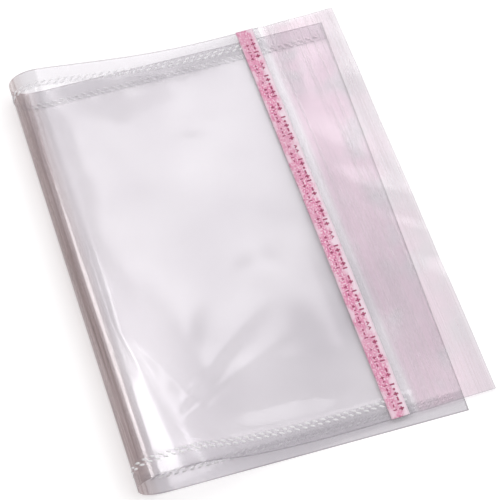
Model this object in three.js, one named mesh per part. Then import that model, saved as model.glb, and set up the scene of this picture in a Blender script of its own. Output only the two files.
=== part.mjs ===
import * as THREE from "three";

// A clear self-seal poly bag, folded over once and lying on a table. All sizes are in mm, with +Z up,
// +X from the rounded fold to the flap, and Y along the fold.

// The flat bag.
const bagWidth = 229; // across the mouth
const bagDepth = 305; // from the mouth to the closed bottom
const flapLength = 40; // the back ply's reach beyond the mouth
const filmWall = 0.3; // one ply as modelled
const plyHalfGap = 0.2; // half of the air between the plies where the bag lies slack

// The welded sides: a flat fin, then two embossed rows.
const finWidth = 8; // from the side edge to the first row
const rowHalfWidth = 0.9;
const rowHeight = 0.25;

// The fold.
const upperLength = 178; // film from the crest of the fold to the flap's edge
const foldHeight = 20;
const foldSkew = THREE.MathUtils.degToRad(1); // the fold line against the mouth
const landingLength = 125; // over which the upper half comes down onto the lower half
const halvesGap = 0.35; // between the upper and the lower half

// The relaxed shape of the upper half.
const pillowHeight = 3.2;
const mouthGape = 1.1;
const flapWave = 0.8;
const flapWaveLength = 74;

// The closing strip, across the whole width just inside the mouth.
const stripFromMouth = 3;
const adhesiveWidth = 6;
const adhesiveWall = 0.25;
const linerWidth = 9;
const linerWall = 0.3;
const seatGap = 0.3;

const totalLength = bagDepth + flapLength;
const foldAt = totalLength - upperLength;
const weldEdge = finWidth + 3 * rowHalfWidth; // where the pouch starts
const stripMiddle = bagDepth - stripFromMouth - linerWidth / 2;
const bottomWeld = 2;

const clamp01 = (t) => Math.min(1, Math.max(0, t));
const smooth = (t) => clamp01(t) ** 2 * (3 - 2 * clamp01(t));

// A turn spread over 0 to 1 with its curvature rising from nothing and falling to nothing.
function easedTurn(t) {
  const part = clamp01(t);
  return part - Math.sin(2 * Math.PI * part) / (2 * Math.PI);
}

// The film's middle line across the fold, from the lower half (s < 0) to the upper half (s > 0).
function foldLine(bendHalf, dip) {
  const step = 0.25;
  const start = -bendHalf;
  const end = bendHalf + landingLength;
  const count = Math.ceil((end - start) / step);
  const heading = (s) =>
    Math.PI -
    (Math.PI + dip) * easedTurn((s + bendHalf) / (2 * bendHalf)) +
    dip * easedTurn((s - bendHalf) / landingLength);
  const points = [{ s: start, x: 0, z: 0 }];
  for (let k = 0; k < count; k++) {
    const last = points[k];
    const ds = (end - start) / count;
    const turn = heading(last.s + ds / 2);
    points.push({
      s: last.s + ds,
      x: last.x + ds * Math.cos(turn),
      z: last.z + ds * Math.sin(turn),
    });
  }
  return { points, heading, start, end };
}

function bisect(low, high, tooHigh) {
  for (let k = 0; k < 40; k++) {
    const middle = (low + high) / 2;
    if (tooHigh(middle)) high = middle;
    else low = middle;
  }
  return (low + high) / 2;
}

// The fold that is as high as wanted and lays the upper half down on the lower half.
const halvesStep = 2 * (plyHalfGap + filmWall) + halvesGap;
const lastOf = (list) => list[list.length - 1];
function settledFold(bendHalf) {
  const dip = bisect(0, 1.2, (d) => lastOf(foldLine(bendHalf, d).points).z < halvesStep);
  return foldLine(bendHalf, dip);
}
const bendHalf = bisect(8, 80, (half) => {
  const top = Math.max(...settledFold(half).points.map((point) => point.z));
  return top > foldHeight - 2 * (plyHalfGap + filmWall);
});
const fold = settledFold(bendHalf);

// The place and the outward direction at a length s along that line.
function alongFold(s) {
  const { points, heading, start, end } = fold;
  const turn = heading(s);
  const first = points[0];
  const last = lastOf(points);
  let x;
  let z;
  if (s <= start) {
    x = first.x + (start - s);
    z = first.z;
  } else if (s >= end) {
    x = last.x + (s - end);
    z = last.z;
  } else {
    const place = ((s - start) / (end - start)) * (points.length - 1);
    const k = Math.min(points.length - 2, Math.floor(place));
    x = THREE.MathUtils.lerp(points[k].x, points[k + 1].x, place - k);
    z = THREE.MathUtils.lerp(points[k].z, points[k + 1].z, place - k);
  }
  return { x, z, outX: -Math.sin(turn), outZ: Math.cos(turn) };
}

// u runs across the flat bag from its middle, v from the closed bottom to the flap's edge.
function acrossFold(u, v) {
  return (v - foldAt) * Math.cos(foldSkew) - u * Math.sin(foldSkew);
}

// The point of the folded bag at (u, v), raised from the middle of the film.
function onBag(u, v, raise) {
  const s = acrossFold(u, v);
  const y = u * Math.cos(foldSkew) + (v - foldAt) * Math.sin(foldSkew);
  const { x, z, outX, outZ } = alongFold(s);
  const wave = 0.5 + 0.5 * Math.cos((2 * Math.PI * u) / flapWaveLength);
  const lift = flapWave * wave * smooth((v - bagDepth) / flapLength);
  return new THREE.Vector3(x + outX * raise, y, z + outZ * raise + lift);
}

// How far the front ply stands off the middle: a slack pillow on the upper half, and a mouth that gapes.
function frontGap(u, v) {
  const fromWeld = bagWidth / 2 - weldEdge - Math.abs(u);
  const clearOfWeld = smooth(fromWeld / 34);
  const upperHalf = smooth((acrossFold(u, v) - 4) / (bendHalf + 18));
  const beforeStrip = smooth((bagDepth - 6 - v) / 55);
  const nearMouth = smooth((v - bagDepth + 45) / 45);
  const mouthWave = 0.7 + 0.3 * Math.cos((2 * Math.PI * (u + 20)) / 120);
  const pillow = pillowHeight * upperHalf * beforeStrip * (0.85 + 0.15 * Math.cos(u / 26 + v / 31));
  return plyHalfGap + clearOfWeld * (pillow + mouthGape * mouthWave * nearMouth);
}

// The back ply lies flat, and meets the front ply in the welded sides and at the closed bottom.
function backGap(u, v) {
  const inWeld = Math.abs(u) > bagWidth / 2 - weldEdge - 1e-6 || v < bottomWeld + 1e-6;
  return inWeld ? -plyHalfGap : plyHalfGap;
}

// The embossed rows stand up from the front ply, but not where it lies on the table or under the strip.
function ridge(u, v) {
  const fromEdge = bagWidth / 2 - Math.abs(u);
  const onRow = [finWidth, finWidth + 2 * rowHalfWidth].some((row) => Math.abs(fromEdge - row) < 1e-6);
  const underStrip = Math.abs(v - stripMiddle) < linerWidth;
  const offTable = smooth((acrossFold(u, v) + bendHalf) / bendHalf);
  return onRow && !underStrip ? rowHeight * offTable : 0;
}

const frontOutside = (u, v) => onBag(u, v, frontGap(u, v) + filmWall + ridge(u, v));
const frontInside = (u, v) => onBag(u, v, frontGap(u, v));
const backInside = (u, v) => onBag(u, v, -backGap(u, v));
const backOutside = (u, v) => onBag(u, v, -backGap(u, v) - filmWall);

function evenly(from, to, step) {
  const count = Math.max(1, Math.round((to - from) / step));
  return Array.from({ length: count }, (_, k) => from + ((to - from) * k) / count);
}

// Lines of the film's mesh across the width.
const sideLines = [0, finWidth - rowHalfWidth, finWidth, finWidth + rowHalfWidth];
sideLines.push(finWidth + 2 * rowHalfWidth, weldEdge);
const panelWidth = bagWidth - 2 * weldEdge;
const panelLines = [0.03, 0.08, 0.16, 0.27, 0.385].map((part) => weldEdge + part * panelWidth);
const halfLines = [...sideLines, ...panelLines].map((fromEdge) => fromEdge - bagWidth / 2);
const across = [...halfLines, 0, ...halfLines.map((u) => -u).reverse()];
const firstPouchLine = sideLines.length - 1;
const lastPouchLine = across.length - sideLines.length;

// Lines of the film's mesh along the length, closest where the fold bends.
const bendReach = bendHalf + (bagWidth / 2) * Math.sin(foldSkew);
const along = [
  ...evenly(0, bottomWeld, bottomWeld),
  ...evenly(bottomWeld, foldAt - bendReach, 14),
  ...evenly(foldAt - bendReach, foldAt + bendReach, 2.7),
  ...evenly(foldAt + bendReach, foldAt + bendReach + 42, 6),
  ...evenly(foldAt + bendReach + 42, bagDepth - 20, 9),
  ...evenly(bagDepth - 20, bagDepth, 5),
  ...evenly(bagDepth, totalLength, 8),
  totalLength,
];
const mouthLine = along.indexOf(bagDepth);

// Closed shells are gathered as triangles, three points each.
function shell() {
  const corners = [];
  const triangle = (a, b, c) => corners.push(...a.toArray(), ...b.toArray(), ...c.toArray());
  const quad = (a, b, c, d) => {
    triangle(a, b, c);
    triangle(a, c, d);
  };
  const geometry = () => {
    const made = new THREE.BufferGeometry();
    made.setAttribute("position", new THREE.Float32BufferAttribute(corners, 3));
    made.computeVertexNormals();
    return made;
  };
  return { triangle, quad, geometry };
}

// A face of the sheet over part of the lines. Facing +1 looks out of the fold, and -1 into it.
function addFace(made, at, lines, rows, [fromI, toI], [fromJ, toJ], facing) {
  for (let i = fromI; i < toI; i++) {
    for (let j = fromJ; j < toJ; j++) {
      const a = at(lines[i], rows[j]);
      const b = at(lines[i], rows[j + 1]);
      const c = at(lines[i + 1], rows[j + 1]);
      const d = at(lines[i + 1], rows[j]);
      if (facing > 0) made.quad(a, b, c, d);
      else made.quad(d, c, b, a);
    }
  }
}

// One film, folded at the bottom and welded up both sides, so that it is a pouch with an open mouth.
function bagFilm() {
  const made = shell();
  const lastLine = across.length - 1;
  const lastRow = along.length - 1;
  const whole = [0, lastLine];
  const pouch = [firstPouchLine, lastPouchLine];
  addFace(made, frontOutside, across, along, whole, [0, mouthLine], 1);
  addFace(made, backOutside, across, along, whole, [0, lastRow], -1);
  addFace(made, frontInside, across, along, pouch, [1, mouthLine], -1);
  addFace(made, backInside, across, along, pouch, [1, mouthLine], 1);
  addFace(made, backInside, across, along, whole, [mouthLine, lastRow], 1);

  for (let i = 0; i < lastLine; i++) {
    const u = across[i];
    const next = across[i + 1];
    const inPouch = i >= firstPouchLine && i < lastPouchLine;
    const under = inPouch ? frontInside : backInside;
    const mouth = along[mouthLine];
    made.quad(frontOutside(u, 0), frontOutside(next, 0), backOutside(next, 0), backOutside(u, 0));
    made.quad(frontOutside(next, mouth), frontOutside(u, mouth), under(u, mouth), under(next, mouth));
    made.quad(
      backInside(next, totalLength),
      backInside(u, totalLength),
      backOutside(u, totalLength),
      backOutside(next, totalLength),
    );
  }

  for (let j = 0; j < lastRow; j++) {
    const v = along[j];
    const next = along[j + 1];
    const top = j < mouthLine ? frontOutside : backInside;
    for (const side of [-1, 1]) {
      const u = (side * bagWidth) / 2;
      const wall = [top(u, next), top(u, v), backOutside(u, v), backOutside(u, next)];
      if (side > 0) wall.reverse();
      made.quad(...wall);
      if (j + 1 === mouthLine) {
        const step = [top(u, next), backOutside(u, next), backInside(u, next)];
        if (side > 0) step.reverse();
        made.triangle(...step);
      }
    }
  }
  return made.geometry();
}

// A strip laid across the front ply, from side edge to side edge.
function crossStrip(width, wall, above) {
  const made = shell();
  const rows = [stripMiddle - width / 2, stripMiddle, stripMiddle + width / 2];
  const face = (raise) => (u, v) => onBag(u, v, frontGap(u, v) + filmWall + raise);
  const under = face(above);
  const over = face(above + wall);
  const whole = [0, across.length - 1];
  addFace(made, over, across, rows, whole, [0, 2], 1);
  addFace(made, under, across, rows, whole, [0, 2], -1);
  for (let i = 0; i < across.length - 1; i++) {
    const u = across[i];
    const next = across[i + 1];
    made.quad(over(u, rows[0]), over(next, rows[0]), under(next, rows[0]), under(u, rows[0]));
    made.quad(over(next, rows[2]), over(u, rows[2]), under(u, rows[2]), under(next, rows[2]));
  }
  for (let j = 0; j < 2; j++) {
    const v = rows[j];
    const next = rows[j + 1];
    const left = across[0];
    const right = across[across.length - 1];
    made.quad(over(left, next), over(left, v), under(left, v), under(left, next));
    made.quad(over(right, v), over(right, next), under(right, next), under(right, v));
  }
  return made.geometry();
}

function named(name, geometry, look) {
  const mesh = new THREE.Mesh(geometry, new THREE.MeshStandardMaterial(look));
  mesh.name = name;
  return mesh;
}

const bag = new THREE.Group();
bag.add(
  named("bag_film", bagFilm(), { color: 0xdfdde4, roughness: 0.18, metalness: 0, transparent: true, opacity: 0.55 }),
);
bag.add(
  named("adhesive_strip", crossStrip(adhesiveWidth, adhesiveWall, seatGap), {
    color: 0xe9e6ea,
    roughness: 0.3,
    metalness: 0,
  }),
);
bag.add(
  named("release_liner", crossStrip(linerWidth, linerWall, 2 * seatGap + adhesiveWall), {
    color: 0xd99bb8,
    roughness: 0.45,
    metalness: 0,
  }),
);

// The bag lies on the table, with the origin under the middle of its box.
const box = new THREE.Box3().setFromObject(bag);
const middle = box.getCenter(new THREE.Vector3());
for (const mesh of bag.children) mesh.geometry.translate(-middle.x, -middle.y, -box.min.z);

export default bag;
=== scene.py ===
import math

import bpy
import numpy as np
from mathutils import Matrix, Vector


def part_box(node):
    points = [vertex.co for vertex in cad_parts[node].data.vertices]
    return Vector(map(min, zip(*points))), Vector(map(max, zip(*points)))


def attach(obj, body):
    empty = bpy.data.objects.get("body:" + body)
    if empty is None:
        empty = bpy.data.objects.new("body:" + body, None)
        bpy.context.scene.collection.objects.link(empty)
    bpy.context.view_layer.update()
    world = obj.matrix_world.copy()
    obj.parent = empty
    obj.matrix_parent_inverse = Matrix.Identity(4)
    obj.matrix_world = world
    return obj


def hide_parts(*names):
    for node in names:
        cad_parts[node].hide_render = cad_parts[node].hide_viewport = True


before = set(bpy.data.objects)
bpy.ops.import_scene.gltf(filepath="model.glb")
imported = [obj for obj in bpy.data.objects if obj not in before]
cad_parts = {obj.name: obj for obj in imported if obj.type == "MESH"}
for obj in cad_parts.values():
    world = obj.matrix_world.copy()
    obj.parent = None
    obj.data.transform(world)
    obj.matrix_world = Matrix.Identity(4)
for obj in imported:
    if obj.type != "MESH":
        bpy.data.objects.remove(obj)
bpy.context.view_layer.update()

# The film: one piece of clear polypropylene, 229 x 650 mm when cut. It is folded at the closed bottom and
# welded up both sides into a pouch whose back ply runs on as the flap. It is then folded over once across
# the middle, so that it lies on itself with a round, springy fold at the left.
bag_width = 0.229
bag_depth = 0.305
flap_length = 0.040
cut_length = 2 * bag_depth + flap_length
weld_edge = 0.0107
upper_length = 0.178
fold_height = 0.020
fold_skew = math.radians(1)
landing_length = 0.125  # over which the upper half comes down from the fold to the lower half
facet_from = 0.0151  # past the crest
facet_widest = 0.009
facet_slope = 0.009
facet_end = -0.035  # across the bag, where the facet has run out
solid_half = 0.0005  # from the middle of the solid's two plies to its outer face
solid_ridge = 0.00025
halves_step = 0.00135  # from the lower half's middle up to the upper half's
front_lie = 0.00045  # where each ply lies, off the middle of the two
back_lie = -0.00010
pillow_height = 0.0034
mouth_gape = 0.0011
strip_from_mouth = 0.003
liner_width = 0.009
fold_at = bag_depth + flap_length - upper_length
strip_middle = bag_depth - strip_from_mouth - liner_width / 2


def smooth(t):
    t = np.clip(t, 0, 1)
    return t * t * (3 - 2 * t)


def eased_turn(t):
    t = np.clip(t, 0, 1)
    return t - np.sin(2 * np.pi * t) / (2 * np.pi)


def fold_heading(s, half, dip):
    """The way the film runs, as an angle, at a length s past the crest of the fold."""
    bend = eased_turn((s + half) / (2 * half))
    landing = eased_turn((s - half) / landing_length)
    return np.pi - (np.pi + dip) * bend + dip * landing


def fold_line(half, dip):
    s = np.linspace(-half, half + landing_length, 900)
    turn = fold_heading((s[1:] + s[:-1]) / 2, half, dip)
    step = s[1] - s[0]
    x = np.concatenate([[0], np.cumsum(np.cos(turn) * step)])
    z = np.concatenate([[0], np.cumsum(np.sin(turn) * step)])
    return s, x, z


def halve(low, high, too_high):
    for _ in range(34):
        middle = (low + high) / 2
        low, high = (low, middle) if too_high(middle) else (middle, high)
    return (low + high) / 2


def dip_for(half):
    return halve(0, 1.2, lambda dip: fold_line(half, dip)[2][-1] < halves_step)


bend_half = halve(
    0.008, 0.080, lambda half: fold_line(half, dip_for(half))[2].max() > fold_height - 2 * solid_half
)
bend_dip = dip_for(bend_half)
line_s, line_x, line_z = fold_line(bend_half, bend_dip)
film_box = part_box("bag_film")
shift_x = film_box[0].x + solid_half + solid_ridge - line_x.min()
shift_y = film_box[0].y + (bag_width / 2) * math.cos(fold_skew) + fold_at * math.sin(fold_skew)


def past_crest(u, v):
    return (v - fold_at) * math.cos(fold_skew) - u * math.sin(fold_skew)


def facet_width(u):
    return facet_widest * np.clip((facet_end - u) / (facet_end + bag_width / 2), 0, 1)


def facet_rise(u, s):
    """How far the film is held up past the crest, as a flat facet that widens to the near edge."""
    x, z = np.interp(s, line_s, line_x), np.interp(s, line_s, line_z)
    from_x, from_z = np.interp(facet_from, line_s, line_x), np.interp(facet_from, line_s, line_z)
    rise = np.where(s > facet_from, from_z - facet_slope * (x - from_x) - z, 0)
    width = facet_width(u)
    return np.maximum(rise, 0) * (1 - smooth((s - facet_from - width) / (4 * width + 0.0005)))


def off_facet(u, s, over):
    """0 on the facet, where the film is taut, and 1 at a length past it."""
    width = facet_width(u)
    return 1 - (1 - smooth((s - facet_from - width) / over)) * smooth(width / 0.005)


def on_bag(u, v, raised):
    """Where a point of the flat bag lies once it is folded over. u runs across and v up from the bottom."""
    s = past_crest(u, v)
    x = np.interp(s, line_s, line_x)
    x = x + np.maximum(line_s[0] - s, 0) + np.maximum(s - line_s[-1], 0)
    z = np.interp(s, line_s, line_z) + facet_rise(u, s)
    turn = fold_heading(s, bend_half, bend_dip)
    y = u * math.cos(fold_skew) + (v - fold_at) * math.sin(fold_skew)
    return np.stack(
        [x - np.sin(turn) * raised + shift_x, y + shift_y, z + np.cos(turn) * raised + solid_half], -1
    )


def flap_lift(u, v):
    """How far the flap stands off: a low wave along its edge, and small rumples."""
    wave = 0.5 + 0.5 * np.cos(2 * np.pi * u / 0.074)
    rumple = 1 + np.sin(u / 0.0058 + 1.9 * np.sin(u / 0.019 + v / 0.013)) * np.sin(v / 0.0085 + u / 0.031)
    free = smooth((v - bag_depth - 0.004) / 0.010)
    return 0.0008 * wave * smooth((v - bag_depth) / flap_length) + 0.00022 * rumple * free


def front_lift(u, v):
    """How far the front ply stands off where it would lie flat: the slack pillow and the mouth."""
    from_weld = bag_width / 2 - weld_edge - np.abs(u)
    s = past_crest(u, v)
    upper = smooth((s - 0.004) / (bend_half + 0.018))
    before_strip = smooth((bag_depth - 0.006 - v) / 0.055)
    clear = smooth(from_weld / 0.034)
    pillow = pillow_height * upper * before_strip * (0.85 + 0.15 * np.cos(u / 0.026 + v / 0.031))
    near_mouth = smooth((v - bag_depth + 0.045) / 0.045)
    mouth = mouth_gape * (0.7 + 0.3 * np.cos(2 * np.pi * (u + 0.020) / 0.120)) * near_mouth
    return clear * (pillow + mouth) * off_facet(u, s, 0.035)


def creases(u, v):
    """The fine relief of slack film: puckers at the welds, creases, dents and slow waves."""
    s = past_crest(u, v)
    upper = smooth((s - 0.010) / 0.020)
    inside = smooth((bag_width / 2 - weld_edge - np.abs(u)) / 0.012)
    before_strip = smooth((bag_depth - 0.014 - v) / 0.030)
    from_weld = np.clip(bag_width / 2 - weld_edge - np.abs(u), 0, None)
    # The puckers stand square to the weld, unevenly spaced, and die away from it.
    phase = v / 0.0052 + 1.7 * np.sin(v / 0.019) + 0.8 * np.sin(v / 0.007)
    pucker = 0.00022 * (1 + np.sin(phase)) * np.exp(-from_weld / 0.011)
    along, over = s - 0.012, u + bag_width / 2 - 0.012
    reach = np.hypot(along, over)
    angle = np.arctan2(over, along)
    fan = 0.0
    # The creases that fan out from the fold's near corner: middle and width as angles, then height and
    # length.
    for middle, width, size, length in (
        (1.02, 0.110, 0.0005, 0.125),
        (0.72, 0.080, 0.0006, 0.135),
        (1.36, 0.060, 0.0002, 0.100),
        (0.50, 0.060, 0.0005, 0.115),
        (0.88, 0.040, 0.0003, 0.085),
    ):
        ridge = np.exp(-(((angle - middle) / width) ** 2))
        fan = fan + size * ridge * smooth(reach / 0.030) * smooth((length - reach) / 0.080)
    slow = (
        np.sin(u / 0.017 + 1.3 * np.sin(v / 0.043))
        + np.sin(v / 0.021 - u / 0.060 + 0.7)
        + 0.7 * np.sin(u / 0.011 + v / 0.029 + 2.1)
    )
    # The shallow dents: the middle across and up the bag, the depth, and the size across and up.
    dents = 0.0
    for middle_u, middle_v, depth, long_u, long_v in (
        (-0.022, 0.260, 0.00110, 0.012, 0.015),
        (0.066, 0.256, 0.00085, 0.008, 0.016),
        (0.026, 0.218, 0.00050, 0.014, 0.019),
    ):
        dents = dents - depth * np.exp(-(((u - middle_u) / long_u) ** 2) - ((v - middle_v) / long_v) ** 2)
    slack = 1.5 * pucker + fan + dents + 0.00034 * (2.7 + slow)
    return upper * inside * before_strip * slack * off_facet(u, s, 0.034)


def film_point(u, t):
    """The place of a point of the cut film. t runs from the flap's edge, down the back and up the front."""
    back = t <= bag_depth + flap_length
    v = np.where(back, bag_depth + flap_length - t, t - bag_depth - flap_length)
    in_weld = smooth((np.abs(u) - bag_width / 2 + weld_edge + 0.0010) / 0.0014)
    in_weld = np.where(v > bag_depth + 0.002, 0, in_weld)
    at_bottom = smooth(1 - v / 0.0012)
    back_raise = back_lie + (front_lie - 0.00006 - back_lie) * in_weld
    front_raise = front_lie + front_lift(u, v) + creases(u, v)
    raised = np.where(back, back_raise, front_raise)
    middle = (front_lie + back_raise) / 2
    raised = raised + (middle - raised) * at_bottom * (1 - in_weld)
    place = on_bag(u, v, raised)
    place[..., 2] += np.where(back, flap_lift(u, v), 0)
    return place


bpy.ops.object.select_all(action="DESELECT")
columns_across, rows_along = 150, 520
bpy.ops.mesh.primitive_grid_add(x_subdivisions=columns_across, y_subdivisions=rows_along, size=1)
film = bpy.context.object
film.name = "folded_film"
film.data.name = "folded_film"
flat = np.array([vertex.co[:2] for vertex in film.data.vertices])
cut_u = flat[:, 0] * bag_width
cut_t = (flat[:, 1] + 0.5) * cut_length
# The mesh is drawn closer together where the film bends.
draw_reach, draw_in = 0.060, 0.006
for bend_t in (upper_length, 2 * (bag_depth + flap_length) - upper_length):
    from_bend = np.clip((cut_t - bend_t) / draw_reach, -1, 1)
    cut_t = cut_t - draw_in * np.sin(from_bend * np.pi)
film.data.vertices.foreach_set("co", film_point(cut_u, cut_t).ravel())
film_map = film.data.uv_layers[0]
film_map.name = "cut_film"
corner = np.array([loop.vertex_index for loop in film.data.loops])
film_map.data.foreach_set("uv", np.stack([cut_u[corner] + bag_width / 2, cut_t[corner]], -1).ravel())
film.data.update()
bpy.ops.object.shade_smooth()


def add_node(tree, kind, **values):
    """A node with its settings and its unlinked inputs given by name, with the underscores as spaces."""
    node = tree.nodes.new(kind)
    for name, value in values.items():
        socket = name.replace("_", " ")
        if hasattr(node, name):
            setattr(node, name, value)
        else:
            node.inputs[socket].default_value = value
    return node


def maths(tree, operation, first, second=None, third=None):
    """A maths node's output. Each value is a number or a socket."""
    node = tree.nodes.new("ShaderNodeMath")
    node.operation = operation
    for place, value in enumerate((first, second, third)):
        if value is None:
            continue
        if isinstance(value, (int, float)):
            node.inputs[place].default_value = value
        else:
            tree.links.new(value, node.inputs[place])
    return node.outputs[0]


def ramp(tree, value, low, high, to_low=0.0, to_high=1.0):
    """A smooth step of a value. With low above high it falls instead of rising."""
    node = tree.nodes.new("ShaderNodeMapRange")
    node.interpolation_type = "SMOOTHSTEP"
    tree.links.new(value, node.inputs["Value"])
    for name, number in (("From Min", low), ("From Max", high), ("To Min", to_low), ("To Max", to_high)):
        node.inputs[name].default_value = number
    return node.outputs["Result"]


def mix_colour(tree, share, first, second, blend="MIX"):
    """A mix of two colours. The share is a number or a socket, and so is a colour a tuple or a socket."""
    node = tree.nodes.new("ShaderNodeMix")
    node.data_type = "RGBA"
    node.blend_type = blend
    if isinstance(share, (int, float)):
        node.inputs["Factor"].default_value = share
    else:
        tree.links.new(share, node.inputs["Factor"])
    for name, value in (("A", first), ("B", second)):
        socket = next(s for s in node.inputs if s.name == name and s.type == "RGBA")
        if isinstance(value, tuple):
            socket.default_value = (*value, 1)
        else:
            tree.links.new(value, socket)
    return next(s for s in node.outputs if s.type == "RGBA")


clear_film = bpy.data.materials.new("clear_film")
clear_film.use_nodes = True
tree = clear_film.node_tree
tree.nodes.clear()
uv = add_node(tree, "ShaderNodeUVMap", uv_map="cut_film")
split = tree.nodes.new("ShaderNodeSeparateXYZ")
tree.links.new(uv.outputs[0], split.inputs[0])
across, along = split.outputs["X"], split.outputs["Y"]
millimetres = tree.nodes.new("ShaderNodeMapping")
millimetres.inputs["Scale"].default_value = (1000, 1000, 1000)
tree.links.new(uv.outputs[0], millimetres.inputs["Vector"])
# The flap is faintly pink and has fine drawn lines along its length.
drawn = tree.nodes.new("ShaderNodeMapping")
drawn.inputs["Scale"].default_value = (9, 560, 1)
tree.links.new(uv.outputs[0], drawn.inputs["Vector"])
drawn_lines = add_node(tree, "ShaderNodeTexNoise", Scale=1.0, Detail=2.0, Roughness=0.5)
tree.links.new(drawn.outputs[0], drawn_lines.inputs["Vector"])
lines = ramp(tree, drawn_lines.outputs["Fac"], 0.47, 0.62)
on_flap = ramp(tree, along, flap_length, flap_length - 0.004)
flap_lines = maths(tree, "MULTIPLY", lines, on_flap)
# The places on the film that get a tone: the welds, which have one of their own, and the cut rim and the
# fold, which get painted shade.
from_middle = maths(tree, "ABSOLUTE", maths(tree, "SUBTRACT", across, bag_width / 2))
from_side = maths(tree, "SUBTRACT", bag_width / 2, from_middle)
in_fin = ramp(tree, from_side, weld_edge + 0.0006, weld_edge - 0.0006)
in_fin = maths(tree, "MULTIPLY", in_fin, ramp(tree, along, flap_length, flap_length + 0.0008))
painted_rim_line = maths(tree, "MAXIMUM", ramp(tree, from_side, 0.0008, 0.0002), ramp(tree, along, 0.0008, 0.0002))
from_bottom = maths(tree, "ABSOLUTE", maths(tree, "SUBTRACT", along, bag_depth + flap_length))
from_crest = maths(tree, "ABSOLUTE", maths(tree, "SUBTRACT", from_bottom, fold_at - 0.003))
# Where the fold's painted shade goes: about 17 mm either side of the crest.
in_bend = ramp(tree, from_crest, 0.017, 0.006)
# The tint: clearer and cloudier patches over the bag, pinker and greyer ones on the flap, and a grey flap
# edge.
cloud = add_node(tree, "ShaderNodeTexNoise", Scale=0.022, Detail=2.0, Roughness=0.55)
tree.links.new(millimetres.outputs[0], cloud.inputs["Vector"])
haze_patch = ramp(tree, cloud.outputs["Fac"], 0.35, 0.68)
tint = mix_colour(tree, haze_patch, (0.930, 0.922, 0.933), (0.980, 0.974, 0.981))
flap_cloud = add_node(tree, "ShaderNodeTexNoise", Scale=0.045, Detail=2.0, Roughness=0.5)
tree.links.new(millimetres.outputs[0], flap_cloud.inputs["Vector"])
greyer = maths(tree, "MULTIPLY_ADD", along, -6.0, flap_cloud.outputs["Fac"])
pinker = maths(tree, "SUBTRACT", 1.0, ramp(tree, greyer, 0.36, 0.56))
flap_tone = mix_colour(tree, pinker, (0.84, 0.81, 0.835), (0.915, 0.80, 0.86))
flap_tone = mix_colour(tree, maths(tree, "MULTIPLY", lines, 0.55), flap_tone, (0.80, 0.74, 0.775))
flap_tone = mix_colour(tree, ramp(tree, along, 0.018, 0.003, 0.0, 0.6), flap_tone, (0.74, 0.70, 0.73))
tint = mix_colour(tree, maths(tree, "MULTIPLY", on_flap, 0.9), tint, flap_tone)
milky = maths(tree, "MULTIPLY", ramp(tree, flap_cloud.outputs["Fac"], 0.54, 0.70), on_flap)
tint = mix_colour(tree, maths(tree, "MULTIPLY", in_fin, 0.9), tint, (0.88, 0.87, 0.885))
# Painted dark edge line: the cut rim is tinted grey, standing in for how a cut edge of clear film shows dark.
tint = mix_colour(tree, painted_rim_line, tint, (0.70, 0.68, 0.70))
# Along the fold the tint is a painted shade, brown-grey where the film turns under, broken into fine light
# and dark lines that run with the fold.
pulled = tree.nodes.new("ShaderNodeMapping")
pulled.inputs["Scale"].default_value = (5, 430, 1)
tree.links.new(uv.outputs[0], pulled.inputs["Vector"])
pulled_lines = add_node(tree, "ShaderNodeTexNoise", Scale=1.0, Detail=2.0, Roughness=0.6)
tree.links.new(pulled.outputs[0], pulled_lines.inputs["Vector"])
light_line = ramp(tree, pulled_lines.outputs["Fac"], 0.36, 0.62)
bend_shade_tone = mix_colour(tree, light_line, (0.64, 0.56, 0.54), (0.90, 0.86, 0.86))
tint = mix_colour(tree, maths(tree, "MULTIPLY", in_bend, 0.95), tint, bend_shade_tone)
# The film lets light through, mirrors some at its surface, and has a thin haze that scatters a little.
clear = tree.nodes.new("ShaderNodeBsdfTransparent")
tree.links.new(tint, clear.inputs["Color"])
gloss = add_node(tree, "ShaderNodeBsdfAnisotropic", Roughness=0.13)
gloss.inputs["Color"].default_value = (1.0, 0.99, 1.0, 1)
body = add_node(tree, "ShaderNodeBsdfPrincipled", Roughness=0.35)
body_colour = mix_colour(tree, haze_patch, (0.80, 0.785, 0.82), (0.90, 0.89, 0.915))
body_colour = mix_colour(tree, flap_lines, body_colour, (0.80, 0.72, 0.78))
tree.links.new(body_colour, body.inputs["Base Color"])
relief = maths(tree, "MULTIPLY", flap_lines, 0.35)
bump = add_node(tree, "ShaderNodeBump", Strength=0.25, Distance=0.00012)
tree.links.new(relief, bump.inputs["Height"])
tree.links.new(bump.outputs["Normal"], gloss.inputs["Normal"])
tree.links.new(bump.outputs["Normal"], body.inputs["Normal"])
# The Fresnel node turns its index round on a back face, so the index is turned round there first.
facing = tree.nodes.new("ShaderNodeNewGeometry")
film_index = 1.7
index = ramp(tree, facing.outputs["Backfacing"], 0, 1, film_index, 1 / film_index)
fresnel = tree.nodes.new("ShaderNodeFresnel")
tree.links.new(index, fresnel.inputs["IOR"])
tree.links.new(bump.outputs["Normal"], fresnel.inputs["Normal"])
shiny = tree.nodes.new("ShaderNodeMixShader")
tree.links.new(fresnel.outputs[0], shiny.inputs["Fac"])
tree.links.new(clear.outputs[0], shiny.inputs[1])
tree.links.new(gloss.outputs[0], shiny.inputs[2])
haze = maths(tree, "MULTIPLY_ADD", haze_patch, 0.035, 0.055)
for mask, more in ((flap_lines, 0.14), (in_fin, 0.04), (milky, 0.12)):
    haze = maths(tree, "MULTIPLY_ADD", mask, more, haze)
film_mix = tree.nodes.new("ShaderNodeMixShader")
tree.links.new(haze, film_mix.inputs["Fac"])
tree.links.new(shiny.outputs[0], film_mix.inputs[1])
tree.links.new(body.outputs[0], film_mix.inputs[2])
film_end = tree.nodes.new("ShaderNodeOutputMaterial")
tree.links.new(film_mix.outputs[0], film_end.inputs["Surface"])
film.data.materials.clear()
film.data.materials.append(clear_film)
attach(film, "root")
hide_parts("bag_film")

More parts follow.
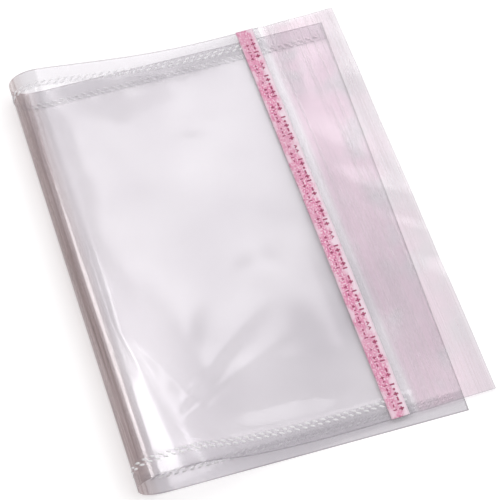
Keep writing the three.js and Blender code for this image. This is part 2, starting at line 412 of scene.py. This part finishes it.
# The embossed rows: two lines of small dots along each welded side, pressed into both plies while the
# weld was still warm, so they stand up white in the clear film. They run from the closed bottom to the
# mouth.
dot_pitch = 0.0038
bpy.ops.object.select_all(action="DESELECT")
bpy.ops.mesh.primitive_uv_sphere_add(segments=8, ring_count=6, radius=1)
dot = bpy.context.object
bpy.ops.object.mode_set(mode="EDIT")
bpy.ops.mesh.select_all(action="SELECT")
bpy.ops.mesh.bisect(plane_co=(0, 0, 0), plane_no=(0, 0, 1), clear_inner=True)
bpy.ops.object.mode_set(mode="OBJECT")
dot_shape = np.array([vertex.co[:] for vertex in dot.data.vertices])
shape = dot_shape * (0.00058, 0.00132, 0.00036)
dots = []
for side in (-1, 1):
    skewed = shape[:, 0] + side * 0.35 * shape[:, 1]
    # Two rows, each so far in from the side edge, the inner one half a pitch on.
    for row, first in ((0.0080, 0.006), (0.0098, 0.006 + 0.5 * dot_pitch)):
        u = side * (bag_width / 2 - row)
        for v in np.arange(first, bag_depth - 0.002, dot_pitch):
            # Under the fold the dots stand off the side that is on the table.
            on_table = past_crest(u, v) < 0.0115 - bend_half
            raised = back_lie - shape[:, 2] if on_table else front_lie + shape[:, 2]
            on_film = on_bag(u + skewed, v + shape[:, 1], raised)
            copy = dot.copy()
            copy.data = dot.data.copy()
            bpy.context.collection.objects.link(copy)
            copy.data.vertices.foreach_set("co", on_film.ravel())
            dots.append(copy)
bpy.data.objects.remove(dot)
bpy.ops.object.select_all(action="DESELECT")
for copy in dots:
    copy.select_set(True)
bpy.context.view_layer.objects.active = dots[0]
bpy.ops.object.join()
seam_dots = bpy.context.object
seam_dots.name = "embossed_dots"
seam_dots.data.name = "embossed_dots"
bpy.ops.object.mode_set(mode="EDIT")
bpy.ops.mesh.select_all(action="SELECT")
bpy.ops.mesh.normals_make_consistent(inside=False)
bpy.ops.object.mode_set(mode="OBJECT")
bpy.ops.object.shade_smooth()

# Mottle: a soft, blotchy mix of two tones. The white dots, the adhesive, the liner and its ink all have it.
mottle = bpy.data.node_groups.new("mottle", "ShaderNodeTree")
for socket, kind in (
    ("Vector", "Vector"),
    ("Scale", "Float"),
    ("Detail", "Float"),
    ("Low", "Float"),
    ("High", "Float"),
    ("Dark", "Color"),
    ("Light", "Color"),
):
    mottle.interface.new_socket(socket, in_out="INPUT", socket_type="NodeSocket" + kind)
mottle.interface.new_socket("Color", in_out="OUTPUT", socket_type="NodeSocketColor")
mottle.interface.new_socket("Mask", in_out="OUTPUT", socket_type="NodeSocketFloat")
given = mottle.nodes.new("NodeGroupInput").outputs
cloud = add_node(mottle, "ShaderNodeTexNoise", Roughness=0.55)
for socket in ("Vector", "Scale", "Detail"):
    mottle.links.new(given[socket], cloud.inputs[socket])
spread = add_node(mottle, "ShaderNodeMapRange", interpolation_type="SMOOTHSTEP")
mottle.links.new(cloud.outputs["Fac"], spread.inputs["Value"])
mottle.links.new(given["Low"], spread.inputs["From Min"])
mottle.links.new(given["High"], spread.inputs["From Max"])
mixed = mix_colour(mottle, spread.outputs["Result"], given["Dark"], given["Light"])
taken = mottle.nodes.new("NodeGroupOutput").inputs
mottle.links.new(mixed, taken["Color"])
mottle.links.new(spread.outputs["Result"], taken["Mask"])


def blotches(tree, where, scale, detail, low, high, dark, light):
    node = tree.nodes.new("ShaderNodeGroup")
    node.node_tree = mottle
    tree.links.new(where, node.inputs["Vector"])
    for socket, value in (("Scale", scale), ("Detail", detail), ("Low", low), ("High", high)):
        node.inputs[socket].default_value = value
    for socket, value in (("Dark", dark), ("Light", light)):
        if isinstance(value, tuple):
            node.inputs[socket].default_value = (*value, 1)
        else:
            tree.links.new(value, node.inputs[socket])
    return node


stretched_film = bpy.data.materials.new("stretched_film")
stretched_film.use_nodes = True
tree = stretched_film.node_tree
body = tree.nodes["Principled BSDF"]
body.inputs["Roughness"].default_value = 0.22
body.inputs["Alpha"].default_value = 0.9
where = tree.nodes.new("ShaderNodeTexCoord")
white = blotches(tree, where.outputs["Object"], 420, 2, 0.3, 0.7, (0.86, 0.85, 0.88), (0.98, 0.975, 0.985))
tree.links.new(white.outputs["Color"], body.inputs["Base Color"])
seam_dots.data.materials.clear()
seam_dots.data.materials.append(stretched_film)
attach(seam_dots, "root")

# The adhesive: a line of clear tacky adhesive, 6 mm wide, laid across the front ply just inside the mouth
# from one side edge to the other. It is as good as hidden under its liner.
adhesive_width = 0.006


def strip_mesh(name, width, above, columns, rows):
    """A thin strip laid across the front ply, above its surface."""
    bpy.ops.object.select_all(action="DESELECT")
    bpy.ops.mesh.primitive_grid_add(x_subdivisions=columns, y_subdivisions=rows, size=1)
    strip = bpy.context.object
    strip.name = name
    strip.data.name = name
    place = np.array([vertex.co[:2] for vertex in strip.data.vertices])
    u = place[:, 0] * bag_width
    v = strip_middle + place[:, 1] * width
    raised = front_lie + front_lift(u, v) + above(u, v)
    strip.data.vertices.foreach_set("co", on_bag(u, v, raised).ravel())
    uv_map = strip.data.uv_layers[0]
    uv_map.name = "strip"
    corner = np.array([loop.vertex_index for loop in strip.data.loops])
    uv_map.data.foreach_set("uv", np.stack([u[corner], v[corner] - strip_middle], -1).ravel())
    strip.data.update()
    bpy.ops.object.shade_smooth()
    return strip


adhesive = strip_mesh("adhesive_line", adhesive_width, lambda u, v: 0.00012 + 0 * u, 90, 2)
adhesive.modifiers.new("thickness", "SOLIDIFY").thickness = 0.00010
bpy.ops.object.modifier_apply(modifier="thickness")
tacky = bpy.data.materials.new("tacky_adhesive")
tacky.use_nodes = True
tree = tacky.node_tree
body = tree.nodes["Principled BSDF"]
body.inputs["Roughness"].default_value = 0.3
body.inputs["Alpha"].default_value = 0.6
where = tree.nodes.new("ShaderNodeTexCoord")
lumps = blotches(tree, where.outputs["Object"], 160, 4, 0.35, 0.65, (0.80, 0.77, 0.80), (0.92, 0.90, 0.92))
tree.links.new(lumps.outputs["Color"], body.inputs["Base Color"])
bump = add_node(tree, "ShaderNodeBump", Strength=0.4, Distance=0.0001)
tree.links.new(lumps.outputs["Mask"], bump.inputs["Height"])
tree.links.new(bump.outputs["Normal"], body.inputs["Normal"])
adhesive.data.materials.clear()
adhesive.data.materials.append(tacky)
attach(adhesive, "root")
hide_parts("adhesive_strip")

# The release liner: a thin pink tape, 9 mm wide, that covers the adhesive until the bag is closed. It is
# stuck down along its middle, so its edges lie a little loose and cockle here and there.


def cockle(u, v):
    edge = np.abs(v - strip_middle) / (liner_width / 2)
    wave = 0.5 + 0.5 * np.sin(u / 0.0031 + 1.9 * np.sin(u / 0.013))
    return 0.00030 + 0.00028 * wave * edge**3


liner = strip_mesh("pink_liner", liner_width, cockle, 260, 8)
liner.modifiers.new("thickness", "SOLIDIFY").thickness = 0.00006
bpy.ops.object.modifier_apply(modifier="thickness")
pink = bpy.data.materials.new("pink_liner")
pink.use_nodes = True
tree = pink.node_tree
body = tree.nodes["Principled BSDF"]
body.inputs["Roughness"].default_value = 0.42
where = add_node(tree, "ShaderNodeUVMap", uv_map="strip")
split = tree.nodes.new("ShaderNodeSeparateXYZ")
tree.links.new(where.outputs[0], split.inputs[0])
stretch = tree.nodes.new("ShaderNodeMapping")
stretch.inputs["Scale"].default_value = (300, 1400, 1)
tree.links.new(where.outputs[0], stretch.inputs["Vector"])
fibre = blotches(tree, stretch.outputs[0], 1, 5, 0.3, 0.7, (0.66, 0.14, 0.32), (0.84, 0.37, 0.54))
speck = blotches(tree, where.outputs[0], 1100, 2, 0.50, 0.62, fibre.outputs["Color"], (0.93, 0.70, 0.79))
# The pink runs out raggedly across the tape, to a paler side near the flap.
patch = add_node(tree, "ShaderNodeTexNoise", Scale=140.0, Detail=4.0)
tree.links.new(where.outputs[0], patch.inputs["Vector"])
ragged = maths(tree, "MULTIPLY_ADD", patch.outputs["Fac"], 0.012, -0.006)
pale = ramp(tree, maths(tree, "ADD", ragged, split.outputs["Y"]), 0.0002, 0.0040)
# It is duller in patches along the tape, and fades at the side away from the flap.
dull = add_node(tree, "ShaderNodeTexNoise", Scale=34.0, Detail=2.0)
tree.links.new(where.outputs[0], dull.inputs["Vector"])
dull_share = ramp(tree, dull.outputs["Fac"], 0.42, 0.62, 0.0, 0.45)
dulled = mix_colour(tree, dull_share, speck.outputs["Color"], (0.76, 0.45, 0.57))
inner = ramp(tree, maths(tree, "ADD", ragged, split.outputs["Y"]), -0.0052, -0.0030, 1.0, 0.0)
faded = mix_colour(tree, inner, dulled, (0.86, 0.62, 0.72))
tone = mix_colour(tree, pale, faded, (0.90, 0.74, 0.82))
tree.links.new(tone, body.inputs["Base Color"])
bump = add_node(tree, "ShaderNodeBump", Strength=0.3, Distance=0.0001)
tree.links.new(fibre.outputs["Mask"], bump.inputs["Height"])
tree.links.new(bump.outputs["Normal"], body.inputs["Normal"])
liner.data.materials.clear()
liner.data.materials.append(pink)
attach(liner, "root")
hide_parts("release_liner")

# The print on the liner: two rows of small plain marks in dark magenta ink, in groups with gaps between
# them. They are dots, dashes, bars, crosses and arrows, and the row near the flap is the larger one.
arm = 0.18  # half the width of a stroke, with the mark's height as 1
mark_shapes = {
    "dot": [(0.30 * math.cos(k * math.pi / 4), 0.26 * math.sin(k * math.pi / 4)) for k in range(8)],
    "dash": [(-0.46, -arm), (0.46, -arm), (0.46, arm), (-0.46, arm)],
    "bar": [(-arm, -0.5), (arm, -0.5), (arm, 0.5), (-arm, 0.5)],
    "cross": [
        (-arm, -0.5), (arm, -0.5), (arm, -arm), (0.46, -arm), (0.46, arm), (arm, arm),
        (arm, 0.5), (-arm, 0.5), (-arm, arm), (-0.46, arm), (-0.46, -arm), (-arm, -arm),
    ],
    "arrow": [(-0.5, -0.12), (0, 0.5), (0.5, -0.12), (0.26, -0.24), (0, 0.12), (-0.26, -0.24)],
}
outer_row = (
    "cross bar dash cross dot bar _ cross dash _ "
    "bar cross dash dot cross bar _ arrow arrow _"
)
inner_row = (
    "bar dash dot _ cross dash bar dot cross _ _ "
    "dash bar cross _ arrow _ _"
)
ink_from_end, ink_above, ink_thickness = 0.004, 0.00009, 0.00003
marks = []
# Each row: how far it is from the tape's middle, the marks' height and their pitch.
for from_middle, height, pitch, plan in (
    (0.0019, 0.0023, 0.0026, outer_row.split()),
    (-0.0013, 0.0017, 0.0022, inner_row.split()),
):
    places = np.arange(-bag_width / 2 + ink_from_end, bag_width / 2 - ink_from_end, pitch)
    for count, place_u in enumerate(places):
        kind = plan[count % len(plan)]
        if kind == "_":
            continue
        outline = np.array(mark_shapes[kind]) * (0.95 * height, height)
        bpy.ops.object.select_all(action="DESELECT")
        bpy.ops.mesh.primitive_circle_add(vertices=len(outline), radius=1, fill_type="NGON")
        mark = bpy.context.object
        u = place_u + outline[:, 0]
        v = strip_middle + from_middle + outline[:, 1]
        raised = front_lie + front_lift(u, v) + cockle(u, v) + ink_above
        mark.data.vertices.foreach_set("co", on_bag(u, v, raised).ravel())
        marks.append(mark)
bpy.ops.object.select_all(action="DESELECT")
for mark in marks:
    mark.select_set(True)
bpy.context.view_layer.objects.active = marks[0]
bpy.ops.object.join()
ink = bpy.context.object
ink.name = "liner_marks"
ink.data.name = "liner_marks"
bpy.ops.object.mode_set(mode="EDIT")
bpy.ops.mesh.select_all(action="SELECT")
bpy.ops.mesh.extrude_region_move(TRANSFORM_OT_translate={"value": (0, 0, ink_thickness)})
bpy.ops.mesh.select_all(action="SELECT")
bpy.ops.mesh.normals_make_consistent(inside=False)
bpy.ops.object.mode_set(mode="OBJECT")
magenta = bpy.data.materials.new("magenta_ink")
magenta.use_nodes = True
tree = magenta.node_tree
body = tree.nodes["Principled BSDF"]
body.inputs["Roughness"].default_value = 0.5
where = tree.nodes.new("ShaderNodeTexCoord")
cover = blotches(tree, where.outputs["Object"], 900, 3, 0.35, 0.75, (0.31, 0.025, 0.095), (0.52, 0.11, 0.23))
tree.links.new(cover.outputs["Color"], body.inputs["Base Color"])
ink.data.materials.clear()
ink.data.materials.append(magenta)
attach(ink, "root")

# The stage: a plain white table in a pale room that is darker to the left, where the fold mirrors it.
# There are four soft lamps overhead, and the camera has the height and turn of the photograph.
bpy.ops.object.select_all(action="DESELECT")
bpy.ops.mesh.primitive_plane_add(size=12, location=(0, 0, 0))
table = bpy.context.object
table.name = "table"
white_table = bpy.data.materials.new("white_table")
white_table.use_nodes = True
tree = white_table.node_tree
body = tree.nodes["Principled BSDF"]
body.inputs["Base Color"].default_value = (0.90, 0.90, 0.90, 1)
body.inputs["Roughness"].default_value = 0.9
body.inputs["Specular IOR Level"].default_value = 0.1
body.inputs["Emission Color"].default_value = (1, 1, 1, 1)
seen = tree.nodes.new("ShaderNodeLightPath")
tree.links.new(maths(tree, "MULTIPLY", seen.outputs["Is Camera Ray"], 0.28), body.inputs["Emission Strength"])
table.data.materials.append(white_table)

world = bpy.data.worlds.new("studio")
bpy.context.scene.world = world
world.use_nodes = True
tree = world.node_tree
sky = tree.nodes["Background"]
sky.inputs["Strength"].default_value = 1.1
around = tree.nodes.new("ShaderNodeTexCoord")
split = tree.nodes.new("ShaderNodeSeparateXYZ")
tree.links.new(around.outputs["Generated"], split.inputs[0])
tone = mix_colour(tree, ramp(tree, split.outputs["X"], -0.9, 0.5), (0.42, 0.385, 0.38), (1.0, 1.0, 1.0))
tone = mix_colour(tree, ramp(tree, split.outputs["Z"], 0.35, 0.80), (0.60, 0.59, 0.60), tone)
# Broad soft folds over the room, which show as slow changes in what the film mirrors.
drape = add_node(tree, "ShaderNodeTexNoise", Scale=3.4, Detail=1.0, Roughness=0.4)
tree.links.new(around.outputs["Generated"], drape.inputs["Vector"])
folds = mix_colour(tree, ramp(tree, drape.outputs["Fac"], 0.40, 0.60), (0.62, 0.61, 0.62), (1.0, 1.0, 1.0))
tree.links.new(mix_colour(tree, 1.0, tone, folds, "MULTIPLY"), sky.inputs["Color"])


def soft_box(name, place, aim, width, depth, watts, shape="RECTANGLE"):
    """An area lamp. Width runs across its aim, which is along Y when it is aimed straight down."""
    light = bpy.data.lights.new(name, "AREA")
    light.shape = shape
    light.size, light.size_y = width, depth
    light.energy = watts
    lamp = bpy.data.objects.new(name, light)
    bpy.context.collection.objects.link(lamp)
    lamp.location = place
    way = np.array(aim) - np.array(place)
    turn = math.atan2(way[1], way[0])
    tilt = math.atan2(math.hypot(way[0], way[1]), -way[2])
    lamp.rotation_euler = (tilt, 0, turn - math.pi / 2)


# The key lights the whole bag. The others are placed to be mirrored: one as a line along the fold, one as
# the white facet at the fold's near end, and one as the broad sheen over the far half.
soft_box("key", (0.60, -0.40, 1.15), (0, 0, 0), 0.7, 0.7, 2.4)
soft_box("fold", (-0.56, 0.42, 0.96), (-0.05, 0, 0), 0.14, 0.7, 1.6)
soft_box("glint", (0.03, 0.33, 0.95), (0.03, 0.33, 0), 0.40, 0.08, 0.42, "ELLIPSE")
soft_box("window", (0.50, 0.74, 0.95), (0, 0, 0), 0.46, 0.46, 1.15)

view_from = (math.radians(-17.55), math.radians(60.1), 1.1474)
centre = (0.0, 0.0, 0.005)
camera_data = bpy.data.cameras.new("photo")
camera = bpy.data.objects.new("photo", camera_data)
bpy.context.collection.objects.link(camera)
turn, height, distance = view_from
camera.location = (
    centre[0] + math.sin(turn) * math.cos(height) * distance,
    centre[1] - math.cos(turn) * math.cos(height) * distance,
    centre[2] + math.sin(height) * distance,
)
camera.rotation_euler = (math.pi / 2 - height, 0, turn)
camera_data.sensor_width = 36
camera_data.lens = 18 / math.tan(math.radians(12.0) / 2)
camera_data.shift_x = 0.0094
camera_data.shift_y = -0.0268
camera_data.clip_start = 0.01
bpy.context.scene.camera = camera
bpy.context.scene.view_settings.view_transform = "Standard"
bpy.context.scene.cycles.transparent_max_bounces = 20
